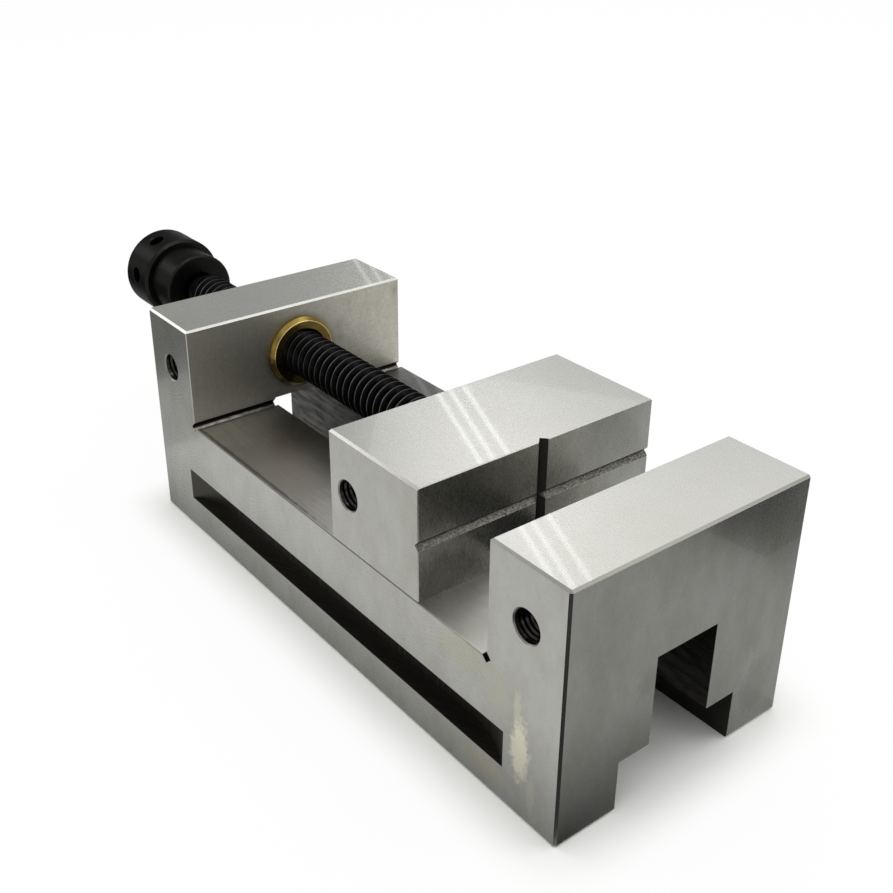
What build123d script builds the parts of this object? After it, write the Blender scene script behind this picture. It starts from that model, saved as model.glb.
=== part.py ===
from build123d import *
import os
from math import cos, radians, sin, sqrt

# Precision screw vise with a ground one-piece body, a sliding jaw and a lead screw.
# X runs along the bed towards the fixed jaw, Y runs across it and Z points up from the underside.
# The origin lies on the underside, below the middle of the whole vise at rest. Sizes are in mm.

# Body
body_length = 245.0
body_width = 100.0
body_height = 90.0
bed_height = 49.0
fixed_jaw_length = 32.5
rear_block_length = 32.0
edge_chamfer = 0.8
working_edge_chamfer = 0.3
relief_half_diagonal = 2.0

# Inverted T slot along the underside
guide_width = 26.0
guide_roof_rise = 2.5
keeper_slot_width = 51.5
keeper_slot_height = 19.0

# Side clamping slots, cut with a disc that leaves an arc at each end
side_slot_width = 13.5
side_slot_height = 13.5
side_slot_depth = 7.6
side_slot_end_wall = 24.0
disc_cutter_radius = 40.0

# Tapped side holes, and the narrower holes beyond them for the set screws
tapped_radius = 5.1
tapped_mouth_radius = 5.8
tapped_depth = 18.0
set_screw_radius = 4.0
set_screw_socket_width = 4.0
set_screw_socket_depth = 3.0

# Movable jaw
jaw_length = 48.0
jaw_opening = 33.0
level_groove_width = 3.4
upright_groove_width = 4.2
jaw_side_hole_setback = 10.0

# Hold-down plate and its fasteners
plate_thickness = 14.0
plate_length = 46.0
plate_side_gap = 0.25
plate_edge_chamfer = 1.0
cap_screw_radius = 3.0
cap_screw_length = 25.0
cap_head_radius = 5.0
cap_head_height = 6.0
cap_socket_width = 5.0
cap_socket_depth = 3.0
cap_screw_spacing_x = 28.0
cap_screw_spacing_y = 14.0
head_recess_radius = 5.5
head_recess_depth = 9.0
washer_radius = 4.9
washer_thickness = 1.6
washer_split = 0.8
dowel_radius = 2.5
dowel_length = 16.0
dowel_end_distance = 4.0
dowel_setback = 4.0

# Lead screw
thread_radius = 9.5
thread_length = 187.0
thread_chamfer = 1.5
neck_radius = 8.3
neck_length = 5.0
nose_radius = 7.0
nose_length = 28.0
nose_groove_radius = 5.0
nose_groove_width = 5.6
shank_radius = 7.0
shank_recess = 1.0
centre_hole_radius = 2.0
centre_hole_depth = 2.0

# Thrust parts in the movable jaw
jaw_bore_radius = 9.0
nose_bush_length = 12.0
nose_bush_setback = 15.0
thrust_washer_radius = 13.0
thrust_washer_thickness = 2.5
thrust_washer_stand = 0.5
thrust_ball_radius = 4.0
thrust_button_length = 5.0
ball_socket_depth = 3.8

# Set screws
dog_screw_length = 14.0
dog_radius = 2.5
dog_length = 4.6
jam_screw_length = 7.5
lock_screw_length = 16.0

# Brass bush
bush_radius = 13.0
bush_flange_radius = 15.0
bush_flange_length = 3.0
bush_flange_chamfer = 1.5
bush_mouth_chamfer = 0.9

# Knob
grip_radius = 18.8
grip_length = 21.0
grip_chamfer = 1.2
hub_radius = 16.0
hub_length = 17.3
hub_round = 1.2
knob_recess_radius = 11.0
knob_recess_depth = 2.0
tommy_hole_radius = 3.5
tommy_hole_depth = 9.0
tommy_hole_count = 6
tommy_hole_bevel = 0.4
tommy_hole_angle = 21.0
roll_pin_radius = 2.5
roll_pin_wall = 0.8
roll_pin_slit = 0.8
roll_pin_length = 31.0

# Clearances
slide_gap = 0.02
running_gap = 0.05
thread_gap = 0.05
press_gap = 0.02
washer_gap = 0.2
ball_gap = 0.1

# Places along the vise, from the knob's rear face to the fixed jaw's outer end
overall_length = fixed_jaw_length + jaw_opening + jaw_length + thread_length + hub_length + grip_length
front_x = overall_length / 2
rear_x = front_x - body_length
fixed_face_x = front_x - fixed_jaw_length
block_face_x = rear_x + rear_block_length
jaw_face_x = fixed_face_x - jaw_opening
jaw_rear_x = jaw_face_x - jaw_length
jaw_middle_x = (jaw_face_x + jaw_rear_x) / 2
dowel_spacing = plate_length - 2 * dowel_end_distance
hub_front_x = jaw_rear_x - thread_length
grip_front_x = hub_front_x - hub_length
grip_rear_x = grip_front_x - grip_length

# Heights. The screw, the side holes and the level groove share the middle of the jaws' height.
screw_z = (bed_height + body_height) / 2
guide_roof_z = bed_height + guide_roof_rise
jaw_bottom_z = bed_height + slide_gap
tongue_bottom_z = keeper_slot_height - slide_gap
plate_bottom_z = tongue_bottom_z - plate_thickness
head_seat_z = plate_bottom_z + head_recess_depth
screw_line = Axis((0, 0, screw_z), (1, 0, 0))
sides = {"near": -1, "far": 1}

os.makedirs("parts", exist_ok=True)


def side_face(x, side, depth=0.0):
    """Plane on the side face at the height of the screw, or depth below it, facing outwards."""
    return Plane(origin=(x, side * (body_width / 2 - depth), screw_z), x_dir=(1, 0, 0), z_dir=(0, side, 0))


def turning_plane():
    """Plane through the line of the screw: its first axis runs along X, its second is the radius."""
    return Plane(origin=(0, 0, screw_z), x_dir=(1, 0, 0), z_dir=(0, -1, 0))


# Vise body: the bed, the rear block and the fixed jaw are one block of steel.
with BuildPart() as vise_body:
    with BuildSketch(Plane.XZ):
        with BuildLine():
            relief = relief_half_diagonal
            Polyline(
                (rear_x, 0),
                (front_x, 0),
                (front_x, body_height),
                (fixed_face_x, body_height),
                (fixed_face_x, bed_height + relief),
                (fixed_face_x + relief, bed_height),
                (fixed_face_x, bed_height - relief),
                (fixed_face_x - relief, bed_height),
                (block_face_x + relief, bed_height),
                (block_face_x, bed_height - relief),
                (block_face_x - relief, bed_height),
                (block_face_x, bed_height + relief),
                (block_face_x, body_height),
                (rear_x, body_height),
                close=True,
            )
        make_face()
    extrude(amount=body_width / 2, both=True)

    # The long edges around the jaw opening are barely broken, the others are chamfered
    for around_opening, size in ((False, edge_chamfer), (True, working_edge_chamfer)):
        side_edges = vise_body.faces().filter_by(Axis.Y).edges()
        long_edges = side_edges.filter_by(lambda edge: edge.length > 2 * relief_half_diagonal)
        above_bed = long_edges.filter_by_position(Axis.Z, bed_height, body_height)
        working_edges = above_bed.filter_by_position(Axis.X, block_face_x, fixed_face_x)
        cross_edges = vise_body.edges().filter_by(Axis.Y).group_by(Axis.Z)
        other_edges = long_edges - working_edges + cross_edges[0] + cross_edges[-1]
        chamfer(working_edges if around_opening else other_edges, length=size)

    # Inverted T slot, open at both ends and below
    with BuildSketch(Plane.YZ.offset(rear_x)):
        Rectangle(keeper_slot_width, keeper_slot_height, align=(Align.CENTER, Align.MIN))
        Rectangle(guide_width, guide_roof_z, align=(Align.CENTER, Align.MIN))
    extrude(amount=body_length, mode=Mode.SUBTRACT)

    # Clamping slots: the disc's radius shows at both ends of each slot
    run_out = sqrt(disc_cutter_radius**2 - (disc_cutter_radius - side_slot_depth) ** 2)
    slot_centres = body_length - 2 * side_slot_end_wall - 2 * run_out
    with BuildSketch(Plane.XY.offset(side_slot_height)):
        for side in sides.values():
            with Locations((
                (front_x + rear_x) / 2,
                side * (body_width / 2 - side_slot_depth + disc_cutter_radius),
            )):
                SlotCenterToCenter(slot_centres, 2 * disc_cutter_radius)
    extrude(amount=side_slot_width, mode=Mode.SUBTRACT)

    # Tapped holes in the sides of the fixed jaw and the rear block
    fixed_hole_x = front_x - fixed_jaw_length / 2
    block_hole_x = rear_x + rear_block_length / 2
    side_holes = [side_face(x, side) for x in (fixed_hole_x, block_hole_x) for side in sides.values()]
    with Locations(*side_holes):
        CounterSinkHole(tapped_radius, tapped_mouth_radius, tapped_depth, counter_sink_angle=90)

    # Lock screw holes that go on to the bush, and the seat of the bush
    with Locations(*[side_face(block_hole_x, side) for side in sides.values()]):
        Hole(set_screw_radius, depth=body_width / 2 - bush_radius / 2)
    with Locations(Plane(origin=(block_face_x, 0, screw_z), z_dir=(1, 0, 0))):
        Hole(bush_radius, depth=rear_block_length)
vise_body.part.label = "vise_body"
export_step(vise_body.part, "parts/vise_body.step")


# Brass bush: its flange bears on the rear block and takes the closing thrust.
with BuildPart() as screw_bush:
    with BuildSketch(turning_plane()):
        with BuildLine():
            bore = thread_radius + running_gap
            seat = bush_radius - press_gap
            flange_front_x = block_face_x + bush_flange_length
            Polyline(
                (rear_x, bore),
                (rear_x, seat),
                (block_face_x, seat),
                (block_face_x, bush_flange_radius),
                (flange_front_x - bush_flange_chamfer, bush_flange_radius),
                (flange_front_x, bush_flange_radius - bush_flange_chamfer),
                (flange_front_x, bore + bush_mouth_chamfer),
                (flange_front_x - bush_mouth_chamfer, bore),
                close=True,
            )
        make_face()
    revolve(axis=screw_line)
screw_bush.part.label = "screw_bush"
export_step(screw_bush.part, "parts/screw_bush.step")


# Lock screws: one from each side holds the bush.
for name, side in sides.items():
    with BuildPart() as bush_lock_screw:
        with BuildSketch(side_face(block_hole_x, side, body_width / 2 - bush_radius)):
            Circle(set_screw_radius - thread_gap)
        extrude(amount=lock_screw_length)
        tip = bush_lock_screw.faces().sort_by(Axis.Y)[0 if side > 0 else -1]
        chamfer(tip.edges(), length=edge_chamfer)
        with BuildSketch(side_face(block_hole_x, side, body_width / 2 - bush_radius - lock_screw_length)):
            RegularPolygon(set_screw_socket_width / 2, 6, major_radius=False)
        extrude(amount=-set_screw_socket_depth, mode=Mode.SUBTRACT)
    bush_lock_screw.part.label = f"bush_lock_screw_{name}"
    export_step(bush_lock_screw.part, f"parts/bush_lock_screw_{name}.step")


# Movable jaw: full-width block on the rails with a tongue that runs between them.
with BuildPart() as movable_jaw:
    with BuildSketch(Plane.XZ):
        with BuildLine():
            groove = level_groove_width / 2
            Polyline(
                (jaw_rear_x, jaw_bottom_z),
                (jaw_face_x, jaw_bottom_z),
                (jaw_face_x, screw_z - groove),
                (jaw_face_x - groove, screw_z),
                (jaw_face_x, screw_z + groove),
                (jaw_face_x, body_height),
                (jaw_rear_x, body_height),
                close=True,
            )
        make_face()
    extrude(amount=body_width / 2, both=True)

    # The edges of the jaw's face and its upright edges are barely broken, those of the top are chamfered
    chamfer(movable_jaw.faces().sort_by(Axis.Z)[-1].edges().sort_by(Axis.X)[:-1], length=edge_chamfer)
    face_top_edge = movable_jaw.faces().sort_by(Axis.Z)[-1].edges().sort_by(Axis.X)[-1]
    chamfer(movable_jaw.edges().filter_by(Axis.Z) + [face_top_edge], length=working_edge_chamfer)

    # Upright V groove in the jaw face
    with BuildSketch(Plane.XY.offset(jaw_bottom_z)):
        with Locations((jaw_face_x, 0)):
            Rectangle(upright_groove_width / sqrt(2), upright_groove_width / sqrt(2), rotation=45)
    extrude(amount=body_height - jaw_bottom_z, mode=Mode.SUBTRACT)

    # Tongue
    with BuildSketch(Plane.XY.offset(tongue_bottom_z)):
        with Locations((jaw_middle_x, 0)):
            Rectangle(plate_length, guide_width - 2 * slide_gap)
    extrude(amount=jaw_bottom_z - tongue_bottom_z)

    # Bore for the nose of the screw, with a seat for the thrust washer
    jaw_bore_depth = nose_length - ball_socket_depth + 2 * thrust_ball_radius + 2 * ball_gap + thrust_button_length
    washer_seat_depth = thrust_washer_thickness - thrust_washer_stand
    with Locations(Plane(origin=(jaw_rear_x, 0, screw_z), z_dir=(-1, 0, 0))):
        CounterBoreHole(jaw_bore_radius, thrust_washer_radius + washer_gap, washer_seat_depth, jaw_bore_depth)

    # Side holes: tapped at the mouth, then narrower down to the bore for the dog screws
    jaw_hole_x = jaw_rear_x + jaw_side_hole_setback
    jaw_holes = [side_face(jaw_hole_x, side) for side in sides.values()]
    with Locations(*jaw_holes):
        CounterSinkHole(tapped_radius, tapped_mouth_radius, tapped_depth, counter_sink_angle=90)
        Hole(set_screw_radius, depth=body_width / 2 - jaw_bore_radius / 2)

    # Holes from below for the cap screws and the dowels
    with Locations(Plane(origin=(jaw_middle_x, 0, tongue_bottom_z), z_dir=(0, 0, -1))):
        with GridLocations(cap_screw_spacing_x, cap_screw_spacing_y, 2, 2):
            Hole(cap_screw_radius, depth=cap_screw_length)
        with GridLocations(dowel_spacing, 0, 2, 1):
            Hole(dowel_radius, depth=dowel_length)
movable_jaw.part.label = "movable_jaw"
export_step(movable_jaw.part, "parts/movable_jaw.step")


# Hold-down plate: runs under the rails in the wide part of the slot.
with BuildPart() as hold_down_plate:
    with BuildSketch(Plane.XY.offset(plate_bottom_z)):
        with Locations((jaw_middle_x, 0)):
            Rectangle(plate_length, keeper_slot_width - 2 * plate_side_gap)
    extrude(amount=plate_thickness)
    chamfer(hold_down_plate.edges().filter_by(Axis.Z), length=plate_edge_chamfer)
    with Locations(Plane(origin=(jaw_middle_x, 0, plate_bottom_z), z_dir=(0, 0, -1))):
        with GridLocations(cap_screw_spacing_x, cap_screw_spacing_y, 2, 2):
            CounterBoreHole(cap_screw_radius + washer_gap, head_recess_radius, head_recess_depth)
        with GridLocations(dowel_spacing, 0, 2, 1):
            Hole(dowel_radius)
hold_down_plate.part.label = "hold_down_plate"
export_step(hold_down_plate.part, "parts/hold_down_plate.step")


# Cap screws: four from below hold the plate to the tongue.
with BuildPart() as hold_down_screws:
    head_top_z = head_seat_z - washer_thickness
    with BuildSketch(Plane.XY.offset(head_top_z)):
        with Locations((jaw_middle_x, 0)):
            with GridLocations(cap_screw_spacing_x, cap_screw_spacing_y, 2, 2):
                Circle(cap_screw_radius - thread_gap)
    extrude(amount=cap_screw_length)
    with BuildSketch(Plane.XY.offset(head_top_z)):
        with Locations((jaw_middle_x, 0)):
            with GridLocations(cap_screw_spacing_x, cap_screw_spacing_y, 2, 2):
                Circle(cap_head_radius)
    extrude(amount=-cap_head_height)
    with BuildSketch(Plane.XY.offset(head_top_z - cap_head_height)):
        with Locations((jaw_middle_x, 0)):
            with GridLocations(cap_screw_spacing_x, cap_screw_spacing_y, 2, 2):
                RegularPolygon(cap_socket_width / 2, 6, major_radius=False)
    extrude(amount=cap_socket_depth, mode=Mode.SUBTRACT)
hold_down_screws.part.label = "hold_down_screws"
export_step(hold_down_screws.part, "parts/hold_down_screws.step")


# Spring washers: one split ring under each head.
with BuildPart() as spring_washers:
    with BuildSketch(Plane.XY.offset(head_seat_z)):
        with Locations((jaw_middle_x, 0)):
            with GridLocations(cap_screw_spacing_x, cap_screw_spacing_y, 2, 2):
                Circle(washer_radius)
                Circle(cap_screw_radius + washer_gap, mode=Mode.SUBTRACT)
                Rectangle(washer_radius, washer_split, align=(Align.MIN, Align.CENTER), mode=Mode.SUBTRACT)
    extrude(amount=-washer_thickness)
spring_washers.part.label = "spring_washers"
export_step(spring_washers.part, "parts/spring_washers.step")


# Dowels: two pins keep the plate square to the tongue.
with BuildPart() as plate_dowels:
    with BuildSketch(Plane.XY.offset(plate_bottom_z + dowel_setback)):
        with Locations((jaw_middle_x, 0)):
            with GridLocations(dowel_spacing, 0, 2, 1):
                Circle(dowel_radius - press_gap)
    extrude(amount=dowel_length)
plate_dowels.part.label = "plate_dowels"
export_step(plate_dowels.part, "parts/plate_dowels.step")


# Nose bush: bronze sleeve in the jaw's bore.
with BuildPart() as nose_bush:
    with BuildSketch(Plane.YZ.offset(jaw_rear_x + nose_bush_setback)):
        with Locations((0, screw_z)):
            Circle(jaw_bore_radius - press_gap)
            Circle(nose_radius + running_gap, mode=Mode.SUBTRACT)
    extrude(amount=nose_bush_length)
nose_bush.part.label = "nose_bush"
export_step(nose_bush.part, "parts/nose_bush.step")


# Thrust washer: between the shoulder of the screw and the jaw.
with BuildPart() as thrust_washer:
    with BuildSketch(Plane.YZ.offset(jaw_rear_x - thrust_washer_stand)):
        with Locations((0, screw_z)):
            Circle(thrust_washer_radius)
            Circle(nose_radius + washer_gap, mode=Mode.SUBTRACT)
    extrude(amount=thrust_washer_thickness)
thrust_washer.part.label = "thrust_washer"
export_step(thrust_washer.part, "parts/thrust_washer.step")


# Thrust button: hardened pad at the bottom of the jaw's bore.
with BuildPart() as thrust_button:
    with BuildSketch(Plane.YZ.offset(jaw_rear_x + jaw_bore_depth)):
        with Locations((0, screw_z)):
            Circle(jaw_bore_radius - press_gap)
    extrude(amount=-thrust_button_length)
thrust_button.part.label = "thrust_button"
export_step(thrust_button.part, "parts/thrust_button.step")


# Dog screws: their tips run in the groove of the nose. Jam screws lock them from outside.
for name, side in sides.items():
    groove_depth = body_width / 2 - nose_groove_radius
    shoulder_depth = groove_depth - running_gap - dog_length
    with BuildPart() as nose_dog_screw:
        with BuildSketch(side_face(jaw_hole_x, side, shoulder_depth)):
            Circle(set_screw_radius - thread_gap)
        extrude(amount=dog_screw_length)
        with BuildSketch(side_face(jaw_hole_x, side, shoulder_depth)):
            Circle(dog_radius)
        extrude(amount=-dog_length)
        with BuildSketch(side_face(jaw_hole_x, side, shoulder_depth - dog_screw_length)):
            RegularPolygon(set_screw_socket_width / 2, 6, major_radius=False)
        extrude(amount=-set_screw_socket_depth, mode=Mode.SUBTRACT)
    nose_dog_screw.part.label = f"nose_dog_screw_{name}"
    export_step(nose_dog_screw.part, f"parts/nose_dog_screw_{name}.step")

    with BuildPart() as nose_jam_screw:
        jam_depth = shoulder_depth - dog_screw_length
        with BuildSketch(side_face(jaw_hole_x, side, jam_depth)):
            Circle(set_screw_radius - thread_gap)
        extrude(amount=jam_screw_length)
        with BuildSketch(side_face(jaw_hole_x, side, jam_depth - jam_screw_length)):
            RegularPolygon(set_screw_socket_width / 2, 6, major_radius=False)
        extrude(amount=-set_screw_socket_depth, mode=Mode.SUBTRACT)
    nose_jam_screw.part.label = f"nose_jam_screw_{name}"
    export_step(nose_jam_screw.part, f"parts/nose_jam_screw_{name}.step")


# Lead screw: grooved nose in the jaw, thread through the bush, then a short neck and the shank in the knob.
with BuildPart() as lead_screw:
    nose_end_x = jaw_rear_x + nose_length
    shoulder_x = jaw_rear_x - thrust_washer_stand - running_gap
    groove_front_x = jaw_hole_x + nose_groove_width / 2
    groove_rear_x = jaw_hole_x - nose_groove_width / 2
    shank_end_x = grip_rear_x + shank_recess
    with BuildSketch(turning_plane()):
        with BuildLine():
            Polyline(
                (nose_end_x, 0),
                (nose_end_x, nose_radius),
                (groove_front_x, nose_radius),
                (groove_front_x, nose_groove_radius),
                (groove_rear_x, nose_groove_radius),
                (groove_rear_x, nose_radius),
                (shoulder_x, nose_radius),
                (shoulder_x, thread_radius - thread_chamfer),
                (shoulder_x - thread_chamfer, thread_radius),
                (hub_front_x + neck_length, thread_radius),
                (hub_front_x + neck_length, neck_radius),
                (hub_front_x, neck_radius),
                (hub_front_x, shank_radius),
                (shank_end_x, shank_radius),
                (shank_end_x, 0),
                close=True,
            )
        make_face()
    revolve(axis=screw_line)
    end_edges = lead_screw.edges().filter_by(GeomType.CIRCLE).sort_by(Axis.X)
    chamfer([end_edges[0], end_edges[-1]], length=edge_chamfer)

    # Seat for the ball in the nose, lathe centre in the rear end
    with Locations(Plane(origin=(nose_end_x, 0, screw_z), z_dir=(1, 0, 0))):
        Hole(thrust_ball_radius + ball_gap, depth=ball_socket_depth)
    with Locations(Plane(origin=(shank_end_x, 0, screw_z), z_dir=(-1, 0, 0))):
        CounterSinkHole(centre_hole_radius / 2, centre_hole_radius, centre_hole_depth, counter_sink_angle=60)

    # Cross hole for the roll pin
    pin_x = (hub_front_x + grip_front_x) / 2
    pin_way = (0, sin(radians(tommy_hole_angle - 60)), -cos(radians(tommy_hole_angle - 60)))
    pin_plane = Plane(origin=(pin_x, 0, screw_z), x_dir=(1, 0, 0), z_dir=pin_way)
    with BuildSketch(pin_plane):
        Circle(roll_pin_radius + press_gap)
    extrude(amount=hub_radius, both=True, mode=Mode.SUBTRACT)
lead_screw.part.label = "lead_screw"
export_step(lead_screw.part, "parts/lead_screw.step")


# Thrust ball: sits in the nose and pushes on the button.
with BuildPart() as thrust_ball:
    with Locations((nose_end_x - ball_socket_depth + ball_gap + thrust_ball_radius, 0, screw_z)):
        Sphere(thrust_ball_radius)
thrust_ball.part.label = "thrust_ball"
export_step(thrust_ball.part, "parts/thrust_ball.step")


# Knob: hub towards the bed, larger grip behind it with radial tommy-bar holes.
with BuildPart() as knob:
    with BuildSketch(turning_plane()):
        with BuildLine():
            Polyline(
                (hub_front_x, shank_radius + press_gap),
                (hub_front_x, hub_radius),
                (grip_front_x, hub_radius),
                (grip_front_x, grip_radius),
                (grip_rear_x, grip_radius),
                (grip_rear_x, knob_recess_radius),
                (grip_rear_x + knob_recess_depth, knob_recess_radius),
                (grip_rear_x + knob_recess_depth, shank_radius + press_gap),
                close=True,
            )
        make_face()
    revolve(axis=screw_line)
    rim_edges = knob.edges().filter_by(GeomType.CIRCLE).group_by(SortBy.RADIUS)
    chamfer(rim_edges[-1], length=grip_chamfer)
    hub_edge = knob.edges().filter_by(GeomType.CIRCLE).group_by(Axis.X)[-1].sort_by(SortBy.RADIUS)[-1]
    fillet(hub_edge, radius=hub_round)

    tommy_x = (grip_front_x + grip_rear_x) / 2
    for index in range(tommy_hole_count):
        angle = radians(tommy_hole_angle + index * 360 / tommy_hole_count)
        outward = (0, -sin(angle), cos(angle))
        rim_point = (tommy_x, grip_radius * outward[1], screw_z + grip_radius * outward[2])
        with Locations(Plane(origin=rim_point, x_dir=(1, 0, 0), z_dir=outward)):
            CounterSinkHole(
                tommy_hole_radius,
                tommy_hole_radius + tommy_hole_bevel,
                tommy_hole_depth,
                counter_sink_angle=90,
            )
    with BuildSketch(pin_plane):
        Circle(roll_pin_radius + press_gap)
    extrude(amount=grip_radius, both=True, mode=Mode.SUBTRACT)
knob.part.label = "knob"
export_step(knob.part, "parts/knob.step")


# Roll pin: split spring pin across the hub.
with BuildPart() as knob_roll_pin:
    with BuildSketch(pin_plane):
        Circle(roll_pin_radius)
        Circle(roll_pin_radius - roll_pin_wall, mode=Mode.SUBTRACT)
        Rectangle(roll_pin_radius, roll_pin_slit, align=(Align.MIN, Align.CENTER), mode=Mode.SUBTRACT)
    extrude(amount=roll_pin_length / 2, both=True)
knob_roll_pin.part.label = "knob_roll_pin"
export_step(knob_roll_pin.part, "parts/knob_roll_pin.step")
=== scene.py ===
"""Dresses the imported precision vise: ground tool steel, blackened screw and knob, brass nut, studio and camera."""

import logging
import math
from abc import ABC, abstractmethod
from collections.abc import Iterable, Mapping, Sequence
from dataclasses import dataclass, field
from enum import Enum

import bpy
from mathutils import Matrix, Vector


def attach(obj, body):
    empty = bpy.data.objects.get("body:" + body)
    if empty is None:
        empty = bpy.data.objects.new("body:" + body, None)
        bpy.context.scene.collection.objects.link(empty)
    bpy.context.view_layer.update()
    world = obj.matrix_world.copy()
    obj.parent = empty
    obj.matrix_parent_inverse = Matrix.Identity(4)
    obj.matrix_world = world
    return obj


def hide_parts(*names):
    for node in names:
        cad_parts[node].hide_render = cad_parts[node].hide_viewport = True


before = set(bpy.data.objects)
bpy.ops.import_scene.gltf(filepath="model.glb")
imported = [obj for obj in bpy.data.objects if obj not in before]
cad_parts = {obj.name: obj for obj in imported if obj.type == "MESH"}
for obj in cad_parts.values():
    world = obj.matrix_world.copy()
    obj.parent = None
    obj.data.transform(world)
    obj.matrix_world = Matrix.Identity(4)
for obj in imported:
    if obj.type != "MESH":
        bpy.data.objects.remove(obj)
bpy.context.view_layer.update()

MM = 0.001
log = logging.getLogger("vise")

Node = bpy.types.Node
Socket = bpy.types.NodeSocket
Source = Node | Socket
Point = tuple[float, float, float]
Face = tuple[int, ...]
Piece = bpy.types.Object
Pair = tuple[float, float]

WHITE = (1.0, 1.0, 1.0, 1.0)
ACROSS_X = (0.0, 1.0, 1.0)
SCREW_AXIS_Z = 69.5
FLAT_SHARP_DEG = 30.0
# What the part of a node's kind after the dot sets. For other nodes it sets their operation.
OPTIONS = {"Mix": "data_type", "MapRange": "interpolation_type", "TexNoise": "noise_dimensions"}
# The levels that noise mostly stays between, as inputs of a map range node.
NOISE_SPAN = {1: 0.3, 2: 0.7}


class MaterialSlot(Enum):
    """The record's material slots."""

    GROUND = "ground_steel"
    MILLED = "milled_steel"
    FASTENER = "fastener_steel"
    BLACKENED = "blackened_steel"
    BRASS = "brass"
    BRONZE = "bronze"


class Body(Enum):
    """The bodies that move against each other."""

    VISE = "vise_body"
    JAW = "moving_jaw"
    SCREW = "screw"


class Side(Enum):
    """The two sides of the vise, with the sign of Y on each."""

    NEAR = -1
    FAR = 1


def to_linear(colour: str) -> tuple[float, float, float, float]:
    """Turns an sRGB hex colour into linear light.

    Args:
        colour: Six hex digits after a hash sign.

    Returns:
        Red, green, blue and an alpha of 1.
    """
    channels = [int(colour[i:i + 2], 16) / 255 for i in (1, 3, 5)]
    red, green, blue = (c / 12.92 if c <= 0.04045 else ((c + 0.055) / 1.055) ** 2.4 for c in channels)
    return (red, green, blue, 1.0)


@dataclass
class Graph:
    """The nodes of one material or of the room. In a finish the place is the point on the piece, in millimetres."""

    owner: bpy.types.Material | bpy.types.World
    place: Source | None = None

    def __post_init__(self) -> None:
        """Clears the nodes that are there at first."""
        self.owner.use_nodes = True
        self.owner.node_tree.nodes.clear()

    def add(self, kind: str, settings: Mapping[str | int, object] | None = None) -> Node:
        """Adds one node with its settings and links.

        Args:
            kind: Blender's name for the type of node without "ShaderNode", and after a dot its operation or
                other option.
            settings: Properties by name, and inputs by socket name or number. An input takes a value, an
                output that feeds it, or a node whose first output feeds it.

        Returns:
            The new node.
        """
        tree = self.owner.node_tree
        kind, _, option = kind.partition(".")
        node = tree.nodes.new(f"ShaderNode{kind}")
        if option:
            setattr(node, OPTIONS.get(kind, "operation"), option)
        for key, value in (settings or {}).items():
            if isinstance(value, (Node, Socket)):
                tree.links.new(value.outputs[0] if isinstance(value, Node) else value, node.inputs[key])
            elif isinstance(key, int) or key in node.inputs:
                node.inputs[key].default_value = value
            else:
                setattr(node, key, value)
        return node


@dataclass(frozen=True)
class Region:
    """A box in millimetres that picks out part of a piece.

    A mirrored one stands on both sides of Y. One with a radius is round about X and fades out over the outer
    part of it. One with a facing picks only the faces whose normal, with its signs dropped, points that way.
    """

    low: Point
    high: Point
    mirrored: bool = False
    facing: Point | None = None
    radius: float = 0.0
    full_share: float = 0.8
    facing_match: float = 0.96

    def mask(self, graph: Graph) -> Source:
        """Adds the nodes that tell whether a point is inside.

        Args:
            graph: The material's nodes.

        Returns:
            1 inside the box and 0 outside.
        """
        place = graph.place
        if self.mirrored:
            ends = graph.add("SeparateXYZ", {0: place})
            side = graph.add("Math.ABSOLUTE", {0: ends.outputs[1]})
            place = graph.add("CombineXYZ", {0: ends, 1: side, 2: ends.outputs[2]})
        middle = tuple((a + b) / 2 for a, b in zip(self.low, self.high))
        half = tuple((b - a) / 2 for a, b in zip(self.low, self.high))
        offset = graph.add("VectorMath.SUBTRACT", {0: place, 1: middle})
        size = graph.add("VectorMath.ABSOLUTE", {0: offset})
        beyond = graph.add("VectorMath.SUBTRACT", {0: size, 1: half})
        parts = graph.add("SeparateXYZ", {0: beyond})
        most = graph.add("Math.MAXIMUM", {0: parts, 1: parts.outputs[1]})
        most = graph.add("Math.MAXIMUM", {0: most, 1: parts.outputs[2]})
        inside = graph.add("Math.LESS_THAN", {0: most, 1: 0.0})
        if self.radius:
            flat = graph.add("VectorMath.MULTIPLY", {0: offset, 1: ACROSS_X})
            reach = graph.add("VectorMath.LENGTH", {0: flat}).outputs["Value"]
            fade = {0: reach, 1: self.radius, 2: self.radius * self.full_share}
            share = graph.add("MapRange.SMOOTHSTEP", fade)
        elif self.facing:
            size = graph.add("VectorMath.ABSOLUTE", {0: graph.add("TexCoord").outputs["Normal"]})
            match = graph.add("VectorMath.DOT_PRODUCT", {0: size, 1: self.facing}).outputs["Value"]
            share = graph.add("Math.GREATER_THAN", {0: match, 1: self.facing_match})
        else:
            return inside
        return graph.add("Math.MULTIPLY", {0: inside, 1: share})


def make_piece(name: str, points: Sequence[Point], faces: Sequence[Face], sharp_deg: float) -> Piece:
    """Makes a mesh object whose place is in its vertices.

    Args:
        name: The piece's name.
        points: Vertices in millimetres.
        faces: Vertex numbers of each face.
        sharp_deg: Edges that turn more than this stay crisp.

    Returns:
        The new object, linked into the scene.
    """
    mesh = bpy.data.meshes.new(name)
    mesh.from_pydata([tuple(c * MM for c in p) for p in points], [], faces)
    mesh.validate()
    mesh.polygons.foreach_set("use_smooth", [True] * len(mesh.polygons))
    mesh.set_sharp_from_angle(angle=math.radians(sharp_deg))
    piece = bpy.data.objects.new(name, mesh)
    bpy.context.scene.collection.objects.link(piece)
    return piece


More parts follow.
